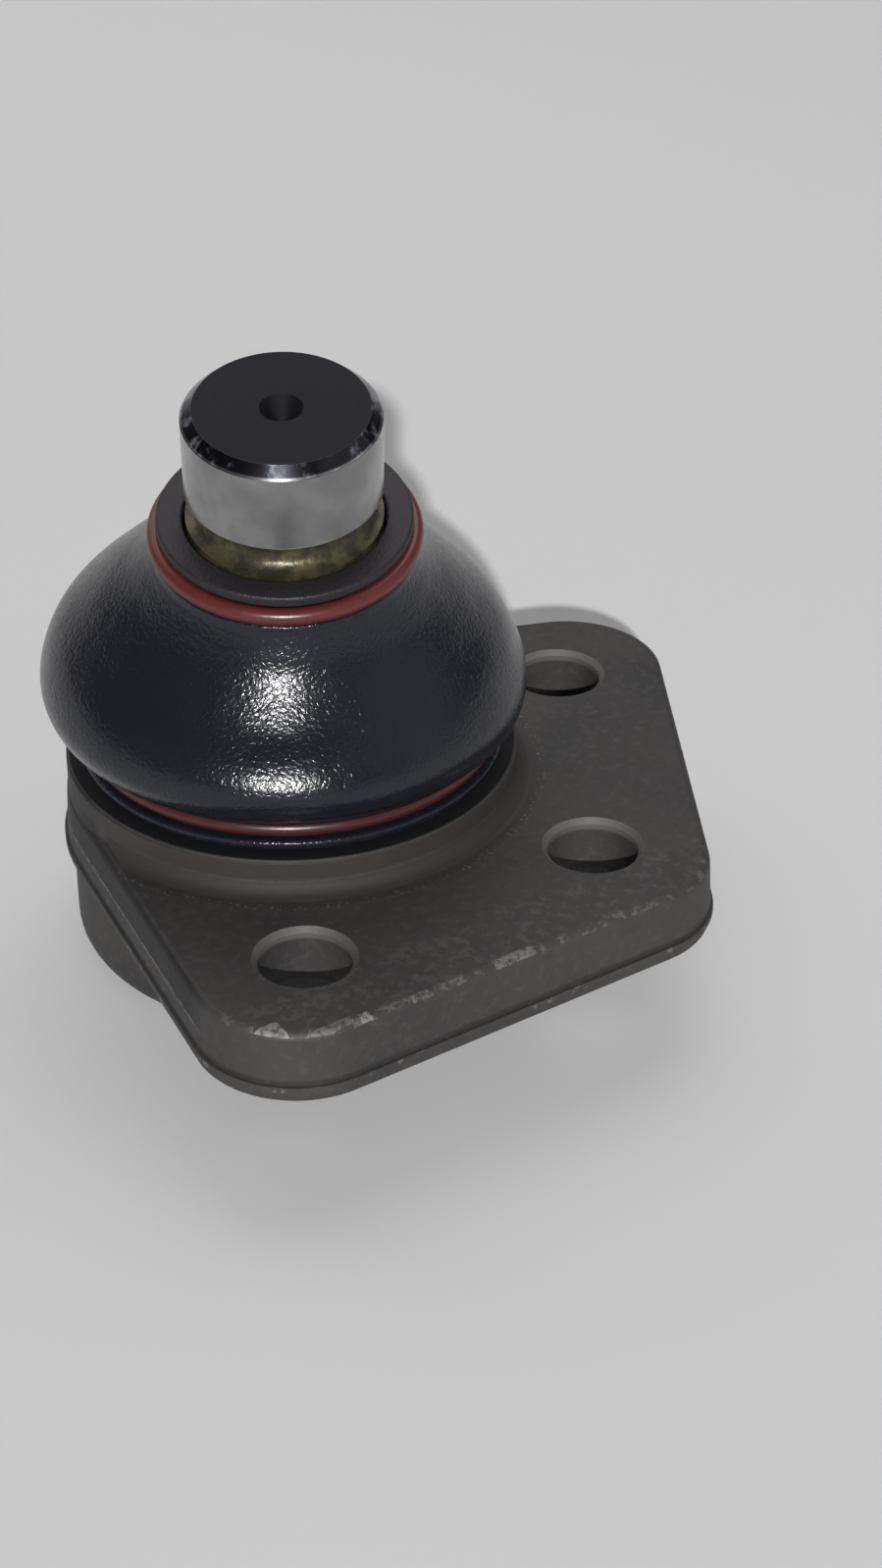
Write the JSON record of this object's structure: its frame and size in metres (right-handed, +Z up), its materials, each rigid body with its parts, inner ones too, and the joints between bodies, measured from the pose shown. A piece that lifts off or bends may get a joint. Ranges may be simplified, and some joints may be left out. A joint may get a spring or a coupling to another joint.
{
  "type": "suspension ball joint",
  "caption": "Flanged suspension ball joint: forged plate with round socket, clamp-type ball stud leaning in a black rubber boot held by two red rings.",
  "frame": {"origin": "where the socket's axis crosses the flange's flat underside, at the top of the cup's cylindrical pilot", "axes": "+Z up the socket's axis towards the boot, +X towards the nose bolt hole, +Y along the line of the two outer bolt holes"},
  "size_m": [0.0813, 0.0972, 0.0761],
  "materials": {
    "forged_steel": "dark grey-brown forged scale, slightly rough",
    "polished_steel": "bright ground and polished",
    "bearing_plastic": "natural off-white",
    "spring_steel": "oiled spring steel",
    "plate_steel": "pressed steel",
    "boot_rubber": "satin black, finely pebbled",
    "red_ring": "glossy brownish red"
  },
  "bodies": {
    "housing": {"housing": "forged_steel", "closing_plate": "plate_steel", "preload_spring": "spring_steel"},
    "bearing": {"lower_race": "bearing_plastic", "upper_race": "bearing_plastic", "boot": "boot_rubber", "lower_clamp_ring": "red_ring"},
    "boot_neck": {"upper_clamp_ring": "red_ring"},
    "stud": {"ball_stud": "polished_steel"}
  },
  "joints": [
    {"name": "bearing_swivel", "type": "hinge", "parent": "housing", "child": "bearing", "pos_m": [0, 0, 0.008], "axis": [0, 0, 1], "continuous": true},
    {"name": "stud_tilt", "type": "hinge", "parent": "bearing", "child": "boot_neck", "pos_m": [0, 0, 0.008], "axis": [0.8788, 0.4772, 0], "range_deg": [-37.5, 12.5], "deforming": ["boot"]},
    {"name": "stud_spin", "type": "hinge", "parent": "boot_neck", "child": "stud", "pos_m": [0, 0, 0.008], "axis": [0.1033, -0.1902, 0.9763], "continuous": true}
  ]
}
